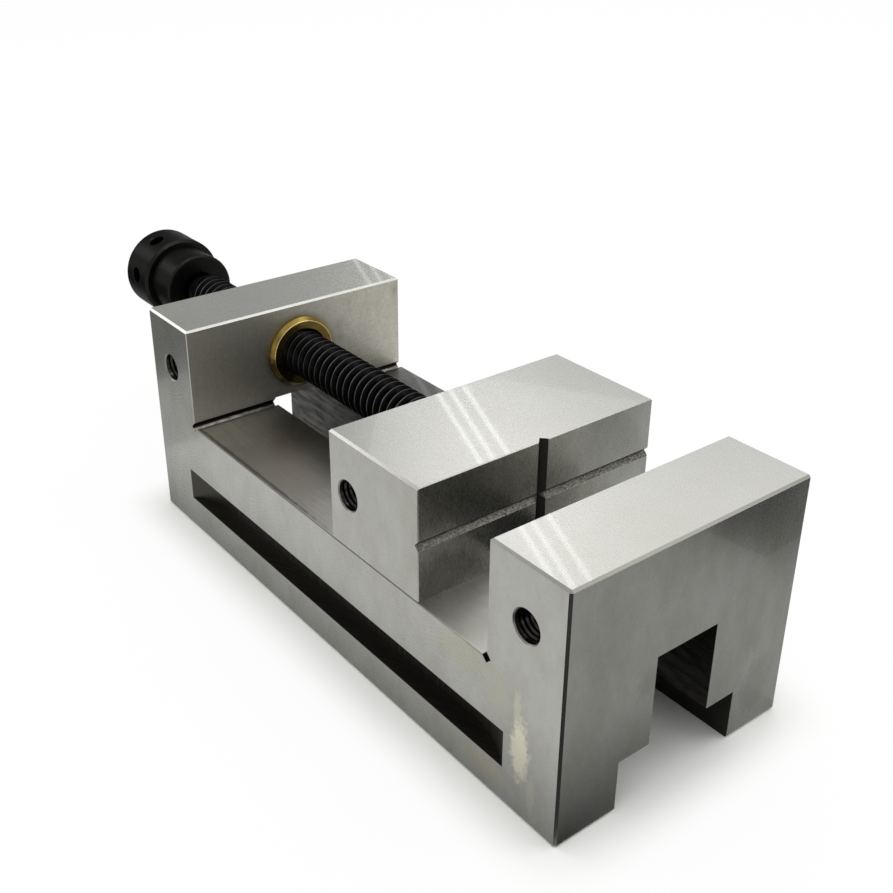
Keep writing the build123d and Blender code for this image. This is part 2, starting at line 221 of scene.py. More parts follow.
@dataclass(frozen=True)
class Finish(ABC):
    """A real material and how its surface was made, as one node material."""

    name: str
    slot: MaterialSlot

    @abstractmethod
    def shader(self, graph: Graph) -> Node:
        """Adds the shader with what feeds it.

        Args:
            graph: The material's nodes.

        Returns:
            The Principled BSDF.
        """

    def build(self) -> bpy.types.Material:
        """Builds the material.

        Returns:
            A new node material.
        """
        material = bpy.data.materials.new(self.name)
        graph = Graph(material)
        coords = graph.add("TexCoord")
        graph.place = graph.add("VectorMath.SCALE", {0: coords.outputs["Object"], "Scale": 1 / MM})
        graph.add("OutputMaterial", {"Surface": self.shader(graph)})
        return material


@dataclass(frozen=True)
class Marks:
    """The marks a tool leaves on a face, as streaks or as arcs. Lengths are in millimetres.

    Arcs come from a disc cutter fed along X, whose middle lies off the middle plane along Y. Low and high are
    the noise levels between which a mark grows from nothing to its full depth.
    """

    size: Point
    arc_radius: float = 0.0
    arc_middle: float = 0.0
    low: float = 0.35
    high: float = 0.65

    def strength(self, graph: Graph) -> Node:
        """Adds the marks.

        Args:
            graph: The material's nodes.

        Returns:
            The marks from 0 to 1.
        """
        place = graph.place
        if self.arc_radius:
            parts = graph.add("SeparateXYZ", {0: place})
            side = graph.add("Math.ABSOLUTE", {0: parts.outputs[1]})
            across = graph.add("Math.SUBTRACT", {0: side, 1: self.arc_middle})
            square = graph.add("Math.POWER", {0: across, 1: 2.0})
            rest = graph.add("Math.SUBTRACT", {0: self.arc_radius ** 2, 1: square})
            chord = graph.add("Math.SQRT", {0: rest})
            along = graph.add("Math.ADD", {0: parts, 1: chord})
            place = graph.add("CombineXYZ", {0: along})
        sized = graph.add("VectorMath.MULTIPLY", {0: place, 1: tuple(1 / length for length in self.size)})
        noise = graph.add("TexNoise", {"Vector": sized, "Scale": 1.0, "Detail": 3.0, "Roughness": 0.6})
        return graph.add("MapRange", {0: noise, 1: self.low, 2: self.high})


@dataclass(frozen=True)
class CutAndShading:
    """Faces of a piece that were finished another way, or that carry painted light and shade: where they are and how
    they look.

    Their marks run from the colour to the shade and from the first roughness to the second.
    """

    region: Region
    colour: str
    shade: str
    roughness: Pair = (0.40, 0.45)
    marks: tuple[Marks, ...] = ()
    film: float = 0.0


@dataclass(frozen=True)
class StainAndPaintedLight:
    """A stain of dried coolant or oil, or a patch of painted light and shade: a ball of influence broken up by
    noise.
    Lengths are in millimetres.

    The fray is how far noise moves its edge, and the core is the part of its reach that it covers fully. It
    can be kept within a region.
    """

    middle: Point
    reach: Point
    colour: str
    strength: float = 0.8
    grain: float = 1.6
    fray: float = 1.6
    core: float = 0.55
    within: Region | None = None

    def lay(self, graph: Graph, tint: Source) -> Socket:
        """Lays the stain or the patch of painted light and shade over a colour.

        Args:
            graph: The material's nodes.
            tint: The colour so far.

        Returns:
            The colour with the stain or the painted light and shade.
        """
        offset = graph.add("VectorMath.SUBTRACT", {0: graph.place, 1: self.middle})
        scaled = graph.add("VectorMath.DIVIDE", {0: offset, 1: self.reach})
        far = graph.add("VectorMath.LENGTH", {0: scaled}).outputs["Value"]
        pattern = {"Vector": graph.place, "Scale": 1 / self.grain, "Detail": 5.0, "Roughness": 0.7}
        noise = graph.add("TexNoise", pattern)
        edge = graph.add("Math.MULTIPLY_ADD", {0: noise, 1: self.fray, 2: -self.fray / 2})
        total = graph.add("Math.ADD", {0: far, 1: edge})
        share = graph.add("MapRange", {0: total, 1: 1.0, 2: self.core, 3: 0.0, 4: self.strength})
        if self.within is not None:
            share = graph.add("Math.MULTIPLY", {0: share, 1: self.within.mask(graph)})
        return graph.add("Mix.RGBA", {0: share, 6: tint, 7: to_linear(self.colour)}).outputs[2]


@dataclass(frozen=True)
class SurfaceGroundSteel(Finish):
    """Hardened tool steel, surface ground: a satin grey with fine lines along the grind and a thin film of oil.

    The wheel's lines are about 0.05 mm apart, too fine for the picture, so they are drawn 0.4 mm apart. The
    shares of the smudges and of the grit are those on upright and on level faces.
    """

    colour: str = "#ADADA7"
    smudge: str = "#9D9D92"
    grit_colour: str = "#9C9C96"
    line_spacing_mm: float = 0.4
    line_length_mm: float = 1.8
    line_depth_mm: float = 0.03
    line_strength: float = 0.0025
    end_facing: float = 0.9
    smudge_size_mm: float = 14.0
    smudge_squeeze: Point = (1.0, 1.0, 0.55)
    smudge_shares: Pair = (1.0, 0.25)
    smudge_levels: Pair = (0.38, 0.68)
    grit_mm: float = 0.4
    grit_shares: Pair = (0.2, 0.28)
    grit_levels: Pair = (0.45, 0.80)
    roughness_low: float = 0.262
    roughness_high: float = 0.284
    film: float = 0.35
    film_roughness: float = 0.03
    cuts_and_shading: tuple[CutAndShading, ...] = ()
    stains_and_painted_light: tuple[StainAndPaintedLight, ...] = ()

    def grind(self, graph: Graph) -> Node:
        """Adds the lines of the grinding wheel: along X, and upright on the faces that look along X.

        Args:
            graph: The material's nodes.

        Returns:
            The lines' height from 0 to 1.
        """
        normal = graph.add("SeparateXYZ", {0: graph.add("TexCoord").outputs["Normal"]})
        ends = graph.add("Math.ABSOLUTE", {0: normal})
        on_end = graph.add("Math.GREATER_THAN", {0: ends, 1: self.end_facing})
        fine, long = 1 / self.line_spacing_mm, 1 / self.line_length_mm
        along = graph.add("VectorMath.MULTIPLY", {0: graph.place, 1: (long, fine, fine)})
        upright = graph.add("VectorMath.MULTIPLY", {0: graph.place, 1: (fine, fine, long)})
        way = graph.add("Mix.VECTOR", {0: on_end, 4: along, 5: upright}).outputs[1]
        return graph.add("TexNoise", {"Vector": way, "Scale": 1.0, "Detail": 3.0, "Roughness": 0.65})

    def tint(self, graph: Graph) -> Socket:
        """Adds the steel's colour with its smudges of dried oil and its fine grit marks.

        Args:
            graph: The material's nodes.

        Returns:
            The colour.
        """
        normal = graph.add("SeparateXYZ", {0: graph.add("TexCoord").outputs["Normal"]})
        level = graph.add("Math.ABSOLUTE", {0: normal.outputs[2]})
        squeezed = graph.add("VectorMath.MULTIPLY", {0: graph.place, 1: self.smudge_squeeze})
        smudges = {"Vector": squeezed, "Scale": 1 / self.smudge_size_mm, "Detail": 7.0, "Roughness": 0.72}
        grit = {"Vector": graph.place, "Scale": 1 / self.grit_mm, "Detail": 1.0}
        patterns = (
            (smudges, self.smudge_levels, self.smudge_shares, self.smudge),
            (grit, self.grit_levels, self.grit_shares, self.grit_colour),
        )
        tint = to_linear(self.colour)
        for pattern, (low, high), (on_upright, on_level), colour in patterns:
            noise = graph.add("TexNoise", pattern)
            most = graph.add("MapRange", {0: level, 3: on_upright, 4: on_level})
            share = graph.add("MapRange", {0: noise, 1: low, 2: high, 4: most})
            tint = graph.add("Mix.RGBA", {0: share, 6: tint, 7: to_linear(colour)}).outputs[2]
        return tint

    def shader(self, graph: Graph) -> Node:
        """Adds the grind, the smudges, the faces finished another way or painted with light and shade, the stains,
        the patches of painted light and shade, and the film of oil.

        Args:
            graph: The material's nodes.

        Returns:
            The Principled BSDF.
        """
        lines = self.grind(graph)
        tint: Source = self.tint(graph)
        gloss = graph.add("MapRange", {0: lines, **NOISE_SPAN, 3: self.roughness_low, 4: self.roughness_high})
        oil: Source | float = self.film
        for cut in self.cuts_and_shading:
            inside = cut.region.mask(graph)
            deepest: Source | float = 0.0
            for marks in cut.marks:
                deepest = graph.add("Math.MAXIMUM", {0: deepest, 1: marks.strength(graph)})
            shades = {0: deepest, 6: to_linear(cut.colour), 7: to_linear(cut.shade)}
            colour = graph.add("Mix.RGBA", shades).outputs[2]
            rough = graph.add("Mix.FLOAT", {0: deepest, 2: cut.roughness[0], 3: cut.roughness[1]})
            tint = graph.add("Mix.RGBA", {0: inside, 6: tint, 7: colour}).outputs[2]
            gloss = graph.add("Mix.FLOAT", {0: inside, 2: gloss, 3: rough})
            oil = graph.add("Mix.FLOAT", {0: inside, 2: oil, 3: cut.film})
        # Stains, and patches of painted light and shade.
        for overlay in self.stains_and_painted_light:
            tint = overlay.lay(graph, tint)
        height = {"Height": lines, "Strength": self.line_strength, "Distance": self.line_depth_mm * MM}
        return graph.add("BsdfPrincipled", {
            "Base Color": tint, "Metallic": 1.0, "Roughness": gloss, "Normal": graph.add("Bump", height),
            "Coat Weight": oil, "Coat Roughness": self.film_roughness,
        })


@dataclass(frozen=True)
class MottledMetal(Finish):
    """A turned or pressed metal with a faint mottle: used for brass, bronze and bright or blackened steel."""

    colour: str = "#8C8C88"
    shade: str = "#6F6F6B"
    mottle_mm: float = 3.0
    grain_mm: float = 0.4
    roughness_low: float = 0.25
    roughness_high: float = 0.40
    grain_depth_mm: float = 0.02
    grain_strength: float = 0.2
    edge_tint: float = 1.0
    film: float = 0.0
    film_roughness: float = 0.2

    def tint(self, graph: Graph) -> Socket:
        """Adds the mottled colour.

        Args:
            graph: The material's nodes.

        Returns:
            The colour.
        """
        pattern = {"Vector": graph.place, "Scale": 1 / self.mottle_mm, "Detail": 4.0, "Roughness": 0.6}
        shades = {0: graph.add("TexNoise", pattern), 6: to_linear(self.colour), 7: to_linear(self.shade)}
        return graph.add("Mix.RGBA", shades).outputs[2]

    def shader(self, graph: Graph) -> Node:
        """Adds the colour, the grain and the film of oil.

        Args:
            graph: The material's nodes.

        Returns:
            The Principled BSDF.
        """
        grain = graph.add("TexNoise", {"Vector": graph.place, "Scale": 1 / self.grain_mm, "Detail": 2.0})
        gloss = graph.add("MapRange", {0: grain, **NOISE_SPAN, 3: self.roughness_low, 4: self.roughness_high})
        height = {"Height": grain, "Strength": self.grain_strength, "Distance": self.grain_depth_mm * MM}
        return graph.add("BsdfPrincipled", {
            "Base Color": self.tint(graph), "Metallic": 1.0, "Roughness": gloss, "Normal": graph.add("Bump", height),
            "Specular Tint": (self.edge_tint, self.edge_tint, self.edge_tint, 1.0),
            "Coat Weight": self.film, "Coat Roughness": self.film_roughness,
        })


def radius_about_screw(graph: Graph) -> Socket:
    """Gives the distance from the line of the screw, in millimetres."""
    flat = graph.add("VectorMath.MULTIPLY_ADD", {0: graph.place, 1: ACROSS_X, 2: (0.0, 0.0, -SCREW_AXIS_Z)})
    return graph.add("VectorMath.LENGTH", {0: flat}).outputs["Value"]


@dataclass(frozen=True)
class TurnedMetal(MottledMetal):
    """A metal with the fine rings of the lathe tool, painted highlights along edges at given radii, and patches of
    painted dark reflection.

    Real rings are about 0.1 mm apart. They are drawn 0.3 mm apart so that they show.
    """

    ring_mm: float = 0.3
    ring_levels: Pair = (0.45, 0.75)
    ring_share: float = 0.5
    edge_highlight: str = "#FFFFFF"
    edge_highlight_radii_mm: tuple[float, ...] = ()
    edge_highlight_width_mm: float = 0.14
    painted_reflections: tuple[StainAndPaintedLight, ...] = ()

    def tint(self, graph: Graph) -> Socket:
        """Adds the mottled colour with the rings, the painted edge highlights and the painted dark reflections.

        Args:
            graph: The material's nodes.

        Returns:
            The colour.
        """
        radius = radius_about_screw(graph)
        count = graph.add("Math.MULTIPLY", {0: radius, 1: 1 / self.ring_mm})
        rings = graph.add("TexNoise.1D", {"W": count, "Scale": 1.0, "Detail": 2.0})
        low, high = self.ring_levels
        dull = graph.add("MapRange", {0: rings, 1: low, 2: high, 4: self.ring_share})
        base = super().tint(graph)
        tint = graph.add("Mix.RGBA", {0: dull, 6: base, 7: to_linear(self.shade)}).outputs[2]
        # Painted highlights: bright rings at the given radii.
        for edge in self.edge_highlight_radii_mm:
            near = graph.add("Math.COMPARE", {0: radius, 1: edge, 2: self.edge_highlight_width_mm})
            tint = graph.add("Mix.RGBA", {0: near, 6: tint, 7: to_linear(self.edge_highlight)}).outputs[2]
        # Painted dark reflections.
        for patch in self.painted_reflections:
            tint = patch.lay(graph, tint)
        return tint


@dataclass(frozen=True)
class ThreadWearAndShadingMetal(MottledMetal):
    """A blackened screw whose crests are lighter, both rubbed bright by the nut and a painted highlight, and which
    is darker towards the roots as painted shade.

    The lighter band starts and is full at depths below the crest, and the flanks are free of the painted shade from
    their own depth up.
    """

    crest_radius_mm: float = 9.5
    root_radius_mm: float = 7.5
    wear_and_highlight_depths_mm: Pair = (0.07, 0.02)
    unshaded_depth_mm: float = 0.3
    worn_and_highlight: str = "#525253"
    root_shade: str = "#0B0B0B"

    def tint(self, graph: Graph) -> Socket:
        """Adds the mottled colour with the lighter crests, worn and painted highlight, and the painted shade in the
        roots.

        Args:
            graph: The material's nodes.

        Returns:
            The colour.
        """
        radius = radius_about_screw(graph)
        start, full = (self.crest_radius_mm - depth for depth in self.wear_and_highlight_depths_mm)
        crest = graph.add("MapRange", {0: radius, 1: start, 2: full})
        unshaded = self.crest_radius_mm - self.unshaded_depth_mm
        flank = graph.add("MapRange", {0: radius, 1: self.root_radius_mm, 2: unshaded})
        base = super().tint(graph)
        # Painted shade: darker from the given depth down to the root.
        tint = graph.add("Mix.RGBA", {0: flank, 6: to_linear(self.root_shade), 7: base}).outputs[2]
        # Lighter crests: wear and a painted highlight.
        return graph.add("Mix.RGBA", {0: crest, 6: tint, 7: to_linear(self.worn_and_highlight)}).outputs[2]


@dataclass
class FinishRack:
    """Builds each finish once and puts it on pieces."""

    made: dict[str, bpy.types.Material] = field(default_factory=dict)

    def dress(self, piece: Piece, finish: Finish) -> None:
        """Puts a finish on a piece in place of its materials.

        Args:
            piece: The object to dress.
            finish: The finish it takes.
        """
        if finish.name not in self.made:
            self.made[finish.name] = finish.build()
        if not piece.material_slots:
            piece.data.materials.append(self.made[finish.name])
        for holder in piece.material_slots:
            holder.material = self.made[finish.name]

    def dress_nodes(self, finish: Finish, names: Iterable[str]) -> None:
        """Puts a finish on CAD nodes.

        Args:
            finish: The finish they take.
            names: The nodes' names.
        """
        for name in names:
            self.dress(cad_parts[name], finish)
            log.info("%s: %s", name, finish.name)


# Tool steel ground on a surface grinder: satin grey, slightly warm under its rust-preventing oil.
GROUND = SurfaceGroundSteel("tool_steel_surface_ground", MaterialSlot.GROUND)

# Faces that the grinding wheel never reached keep the dark skin of the hardening furnace.
# The same dark also serves as painted shade in the jaw's V grooves.
SKIN_AND_SHADE = ("#3B3936", "#2C2A27")
# The darker pair is that skin with painted shade, for inside the relief grooves.
GROOVE_SCALE_AND_SHADE = ("#262420", "#1B1A17")
DIAGONAL_XZ = (0.7071, 0.0, 0.7071)
DIAGONAL_YZ = (0.0, 0.7071, 0.7071)
DIAGONAL_XY = (0.7071, 0.7071, 0.0)


def skin_and_shade_cut(low: Point, high: Point, mirrored: bool = False) -> CutAndShading:
    """Gives a cut with the dark of the furnace skin between two corners, used both for skin and for painted shade.
    """
    return CutAndShading(Region(low, high, mirrored), *SKIN_AND_SHADE)


def hole_cuts(x: float) -> tuple[CutAndShading, ...]:
    """Gives the skin inside the tapped holes at x and the grey of their countersunk mouths."""
    low, high = (x - 6.6, 30.0, 62.9), (x + 6.6, 49.97, 76.1)
    mouth = Region((x - 6.6, 49.35, 62.9), high, mirrored=True)
    return skin_and_shade_cut(low, high, mirrored=True), CutAndShading(mouth, "#87857F", "#87857F")


def groove_cut(x: float, z: float, reach: float = 2.3) -> CutAndShading:
    """Gives the skin, darkened by painted shade, inside a relief groove that runs along Y at x and z."""
    low, high = (x - reach, -49.97, z - reach), (x + reach, 49.97, z + reach)
    return CutAndShading(Region(low, high, facing=DIAGONAL_XZ), *GROOVE_SCALE_AND_SHADE)


# The tops of the two rails, and the movable jaw's face.
RAIL_TOPS = Region((-44.5, -49.9, 48.9), (137.5, 49.9, 49.2))
JAW_FACE = Region((103.6, -49.6, 49.1), (104.1, 49.6, 89.6))

# The rails are brushed along the bed. The blocks' inner faces are brushed both ways, like linen.
BRUSHED_RAILS = Marks((24.0, 0.5, 0.5), low=0.40, high=0.80)
LINEN = (
    Marks((1.0, 0.45, 2.6), low=0.44, high=0.92), Marks((1.0, 2.6, 0.45), low=0.44, high=0.92),
    Marks((1.0, 9.0, 12.0), low=0.46, high=0.84),
)

# The slots' cutters leave arcs, real ones 0.1 mm apart and drawn 1.5 mm apart so that they show. The wide
# slot's walls are smeared along the bed.
SIDE_SLOT_ARCS = Marks((1.5, 1.0, 1.0), arc_radius=40.0, arc_middle=82.4, low=0.52, high=0.80)
INNER_SLOT_SMEARS = Marks((12.0, 1.0, 2.5), low=0.40, high=0.65)

BODY_STEEL = SurfaceGroundSteel(
    "tool_steel_ground_body", MaterialSlot.GROUND,
    cuts_and_shading=(
        # The rails' tops and outer edges.
        CutAndShading(RAIL_TOPS, "#ADACA8", "#8C8B87", (0.33, 0.39), (BRUSHED_RAILS,), 0.2),
        CutAndShading(
            Region((-44.5, 49.5, 48.5), (137.5, 50.1, 49.1), mirrored=True, facing=DIAGONAL_YZ),
            "#7C7B76", "#7C7B76", (0.6, 0.6),
        ),
        # The blocks' inner faces, and on the rear one a darker round patch of painted shade about the nut.
        CutAndShading(Region((-43.9, -49.6, 49.5), (-43.3, 49.6, 89.0)), "#C3C1B5", "#969385", (0.42, 0.52), LINEN, 0.1),
        CutAndShading(Region((136.6, -49.6, 51.3), (137.2, 49.6, 89.6)), "#C6C5BF", "#B2B1AB", (0.38, 0.46), LINEN, 0.1),
        CutAndShading(
            Region((-43.9, -18.0, 51.5), (-43.3, 18.0, 87.5), radius=18.0), "#A6A397", "#77736A", (0.42, 0.52),
            LINEN, 0.1,
        ),
        # The T slot, its wide part and its narrow one, both unground steel painted darker as shade inside the slot,
        # and the clamping slots in the sides.
        CutAndShading(Region((-80.0, -25.85, -1.0), (169.2, 25.85, 19.1)), "#2E2D2A", "#22211F", (0.40, 0.5)),
        CutAndShading(
            Region((-80.0, -13.1, 18.0), (169.2, 13.1, 51.6)), "#454440", "#201F1D", (0.36, 0.5),
            (INNER_SLOT_SMEARS,),
        ),
        CutAndShading(
            Region((-60.0, 36.0, 13.4), (150.0, 49.93, 27.1), mirrored=True), "#474540", "#8A8881", (0.40, 0.3),
            (SIDE_SLOT_ARCS,),
        ),
        *hole_cuts(153.15),
        *hole_cuts(-59.6),
        # The fixed jaw's top edge and upright edges at its free end.
        CutAndShading(Region((168.5, -49.9, 89.1), (169.5, 49.9, 90.1), facing=DIAGONAL_XZ), "#8E8D86", "#8E8D86", (0.3, 0.3)),
        CutAndShading(
            Region((168.5, 49.0, 0.5), (169.5, 50.1, 89.5), mirrored=True, facing=DIAGONAL_XY),
            "#7E7D78", "#7E7D78", (0.36, 0.36),
        ),
        # The relief grooves with painted shade in them, the rear one with its lower wall painted paler as the part
        # that light reaches.
        groove_cut(136.9, 49.0),
        groove_cut(-43.6, 49.0),
        CutAndShading(
            Region((-46.0, -49.97, 46.9), (-43.5, 49.97, 48.35), facing=DIAGONAL_XZ), "#8D8B83", "#5E5B54",
            (0.4, 0.5), (Marks((0.8, 3.0, 0.8), low=0.40, high=0.65),),
        ),
    ),
    stains_and_painted_light=(
        StainAndPaintedLight((152.6, -50.0, 25.0), (4.6, 6.0, 13.5), "#D6D2BE", 1.0, 2.8),
        StainAndPaintedLight((151.0, -50.0, 40.0), (1.8, 6.0, 7.0), "#BBB9A8", 0.7),
        StainAndPaintedLight((158.0, -50.0, 12.0), (2.2, 6.0, 8.0), "#BBB9A8", 0.5),
        StainAndPaintedLight((141.0, -50.0, 40.0), (7.0, 6.0, 9.0), "#A9A798", 0.7),
        StainAndPaintedLight((125.0, -50.0, 44.0), (14.0, 6.0, 6.0), "#A8A796", 0.7),
        StainAndPaintedLight((136.0, -50.0, 8.0), (12.0, 6.0, 5.0), "#B0AA90", 0.6),
        # A darker patch over the far rail's top.
        StainAndPaintedLight((0.0, 33.0, 49.0), (80.0, 60.0, 9.0), "#31302D", 0.9, 14.0, 0.7, 0.45, RAIL_TOPS),
        StainAndPaintedLight((5.0, -33.0, 49.0), (70.0, 50.0, 9.0), "#6A655A", 0.65, 12.0, 0.7, 0.3, RAIL_TOPS),
        # Painted light: a paler patch on the near rail beside the fixed jaw.
        StainAndPaintedLight((134.0, -36.0, 49.0), (34.0, 34.0, 9.0), "#E6E5E1", 0.9, 9.0, 0.6, 0.4, RAIL_TOPS),
        StainAndPaintedLight((-2.0, -48.7, 49.0), (60.0, 0.9, 9.0), "#35322D", 0.7, 5.0, within=RAIL_TOPS),
        StainAndPaintedLight((169.4, -16.0, 44.0), (6.0, 5.0, 6.0), "#8A8984", 0.4),
        StainAndPaintedLight((169.4, 36.0, 16.0), (6.0, 8.0, 13.0), "#8B8A84", 0.5),
    ),
)

# The jaw's tapped holes keep that dark skin too, and its two V grooves are painted in it as shade.
JAW_STEEL = SurfaceGroundSteel(
    "tool_steel_ground_jaw", MaterialSlot.GROUND,
    cuts_and_shading=(
        # The level V groove's upper flank, facing down, painted as dark shade.
        skin_and_shade_cut((101.0, -49.97, 69.4), (103.88, 49.97, 71.25)),
        # Its lower flank, facing up, painted as the lit copy in a grey with grit.
        CutAndShading(
            Region((101.0, -49.97, 67.7), (103.88, 49.97, 69.45)), "#7C7A72", "#3F3D39", (0.40, 0.5),
            (Marks((0.6, 0.6, 0.6), low=0.40, high=0.62),),
        ),
        # The upright V groove, painted as dark shade.
        skin_and_shade_cut((101.0, -2.15, 40.0), (103.88, 2.15, 89.9)),
        skin_and_shade_cut((55.0, 49.5, 48.9), (104.8, 50.1, 49.3), mirrored=True),
        *hole_cuts(65.9),
    ),
    # Painted dark reflection on the lower near part of the jaw's face.
    stains_and_painted_light=(StainAndPaintedLight((103.9, -40.0, 55.0), (9.0, 26.0, 14.0), "#504F4A", 0.8, 12.0, 0.8, 0.4, JAW_FACE),),
)

# Threads cut in that steel before hardening: dark, with light catching the crests.
TAPPED = SurfaceGroundSteel(
    "tool_steel_tapped", MaterialSlot.GROUND, "#2B2926", "#232220", "#201E1C", roughness_low=0.25,
    roughness_high=0.4,
)

# Mild steel, milled and left: a little rougher and darker than the ground faces.
MILLED = MottledMetal(
    "steel_milled", MaterialSlot.MILLED, "#92918C", "#7C7B76", mottle_mm=6.0, grain_mm=0.8,
    roughness_low=0.32, roughness_high=0.46,
)

# Steel blackened in hot oxide salts and oiled: nearly black, with grey highlights along its edges.
OXIDE_SCREW = ThreadWearAndShadingMetal(
    "steel_turned_black_oxide", MaterialSlot.BLACKENED, "#121213", "#0B0B0C", mottle_mm=1.5, grain_mm=0.25,
    roughness_low=0.30, roughness_high=0.42, edge_tint=0.25, film=0.08, film_roughness=0.2,
)

# Steel blasted before blackening: an even, grainy black that catches little light.
OXIDE_KNOB = MottledMetal(
    "steel_blasted_black_oxide", MaterialSlot.BLACKENED, "#2B2C29", "#0B0C0B", mottle_mm=0.9, grain_mm=0.8,
    roughness_low=0.36, roughness_high=0.48, grain_depth_mm=0.22, grain_strength=1.0, edge_tint=0.2, film=0.14,
    film_roughness=0.28,
)

# Alloy steel screws, forged and blackened.
OXIDE_FASTENER = MottledMetal(
    "alloy_steel_forged_black_oxide", MaterialSlot.FASTENER, "#333335", "#222224", mottle_mm=1.2, grain_mm=0.3,
    roughness_low=0.30, roughness_high=0.45, edge_tint=0.5, film=0.2,
)

# Brass turned on a lathe and handled: gold with fine rings, browner in a painted dark reflection on its lower near
# side, and a painted highlight along the edge of its bevel.
TURNED_BRASS = TurnedMetal(
    "brass_turned", MaterialSlot.BRASS, "#B59C56", "#5C4A20", mottle_mm=5.0, grain_mm=0.35,
    roughness_low=0.24, roughness_high=0.40, edge_highlight="#EAD79C", edge_highlight_radii_mm=(13.5,),
    # A painted dark reflection on the lower near side of the nut.
    painted_reflections=(StainAndPaintedLight((-42.0, -13.0, 61.0), (9.0, 9.0, 14.0), "#3A2C12", 0.85, 3.0),),
)

# Tin bronze turned on a lathe: redder than the brass.
TURNED_BRONZE = MottledMetal(
    "bronze_turned", MaterialSlot.BRONZE, "#B98A55", "#8F6638", mottle_mm=4.0, grain_mm=0.35,
    roughness_low=0.25, roughness_high=0.38,
)


@dataclass(frozen=True)
class ThreadForm:
    """One pitch of a screw thread: its radius at points along the pitch, from the middle of a crest."""

    pitch: float
    points: tuple[Pair, ...]


@dataclass
class Turning:
    """A turned mesh about the line of the screw, made of rings and threads."""

    axis_z: float
    segments: int = 96
    points: list[Point] = field(default_factory=list)
    faces: list[Face] = field(default_factory=list)

    def at(self, x: float, radius: float, angle: float) -> Point:
        """Gives the point at x, a radius and an angle from +Y towards +Z."""
        return (x, radius * math.cos(angle), self.axis_z + radius * math.sin(angle))

    def lathe(self, profile: Sequence[Pair]) -> None:
        """Adds a surface turned from a profile.

        Args:
            profile: x and radius of each ring. A radius of 0 closes the surface.
        """
        first = len(self.points)
        n = self.segments
        for x, radius in profile:
            self.points.extend(self.at(x, radius, 2 * math.pi * k / n) for k in range(n))
        for ring in range(len(profile) - 1):
            for k in range(n):
                a, b = first + ring * n + k, first + ring * n + (k + 1) % n
                self.faces.append((a, b, b + n, a + n))

    def thread(self, form: ThreadForm, start: float, end: float, crest_x: float, limit: "Envelope") -> None:
        """Adds a right-hand thread.

        Args:
            form: The shape of one pitch.
            start: Where the thread starts along X.
            end: Where it ends.
            crest_x: A place where the crest crosses the +Y side.
            limit: The radii that the thread stays between.
        """
        n, m = self.segments, len(form.points)
        first_turn = math.floor((start - crest_x) / form.pitch) - 1
        last_turn = math.ceil((end - crest_x) / form.pitch) + 1
        rows = (last_turn - first_turn) * n
        first = len(self.points)
        for i in range(rows + 1):
            turn = first_turn + i / n
            for offset, radius in form.points:
                x = min(max(crest_x + (turn + offset) * form.pitch, start), end)
                self.points.append(self.at(x, limit.clip(x, radius), 2 * math.pi * turn))
        for i in range(rows):
            for j in range(m):
                a, b = first + i * m + j, first + (i + 1) * m + j
                if j + 1 < m:
                    c, d = b + 1, a + 1
                elif i + n + 1 <= rows:
                    c, d = first + (i + 1 + n) * m, first + (i + n) * m
                else:
                    continue
                if len({self.points[k][0] for k in (a, b, c, d)}) > 1:
                    self.faces.append((a, b, c, d))


@dataclass(frozen=True)
class Envelope:
    """Limits a thread's radius by lines between stations along X."""

    stations: tuple[Pair, ...]
    inward: bool = False

    def clip(self, x: float, radius: float) -> float:
        """Gives the radius kept inside the envelope, or outside it for an inner thread."""
        stations = self.stations
        bound = stations[0][1] if x <= stations[0][0] else stations[-1][1]
        for (x0, r0), (x1, r1) in zip(stations, stations[1:]):
            if x0 < x <= x1:
                bound = r0 + (r1 - r0) * (x - x0) / (x1 - x0)
        return max(radius, bound) if self.inward else min(radius, bound)


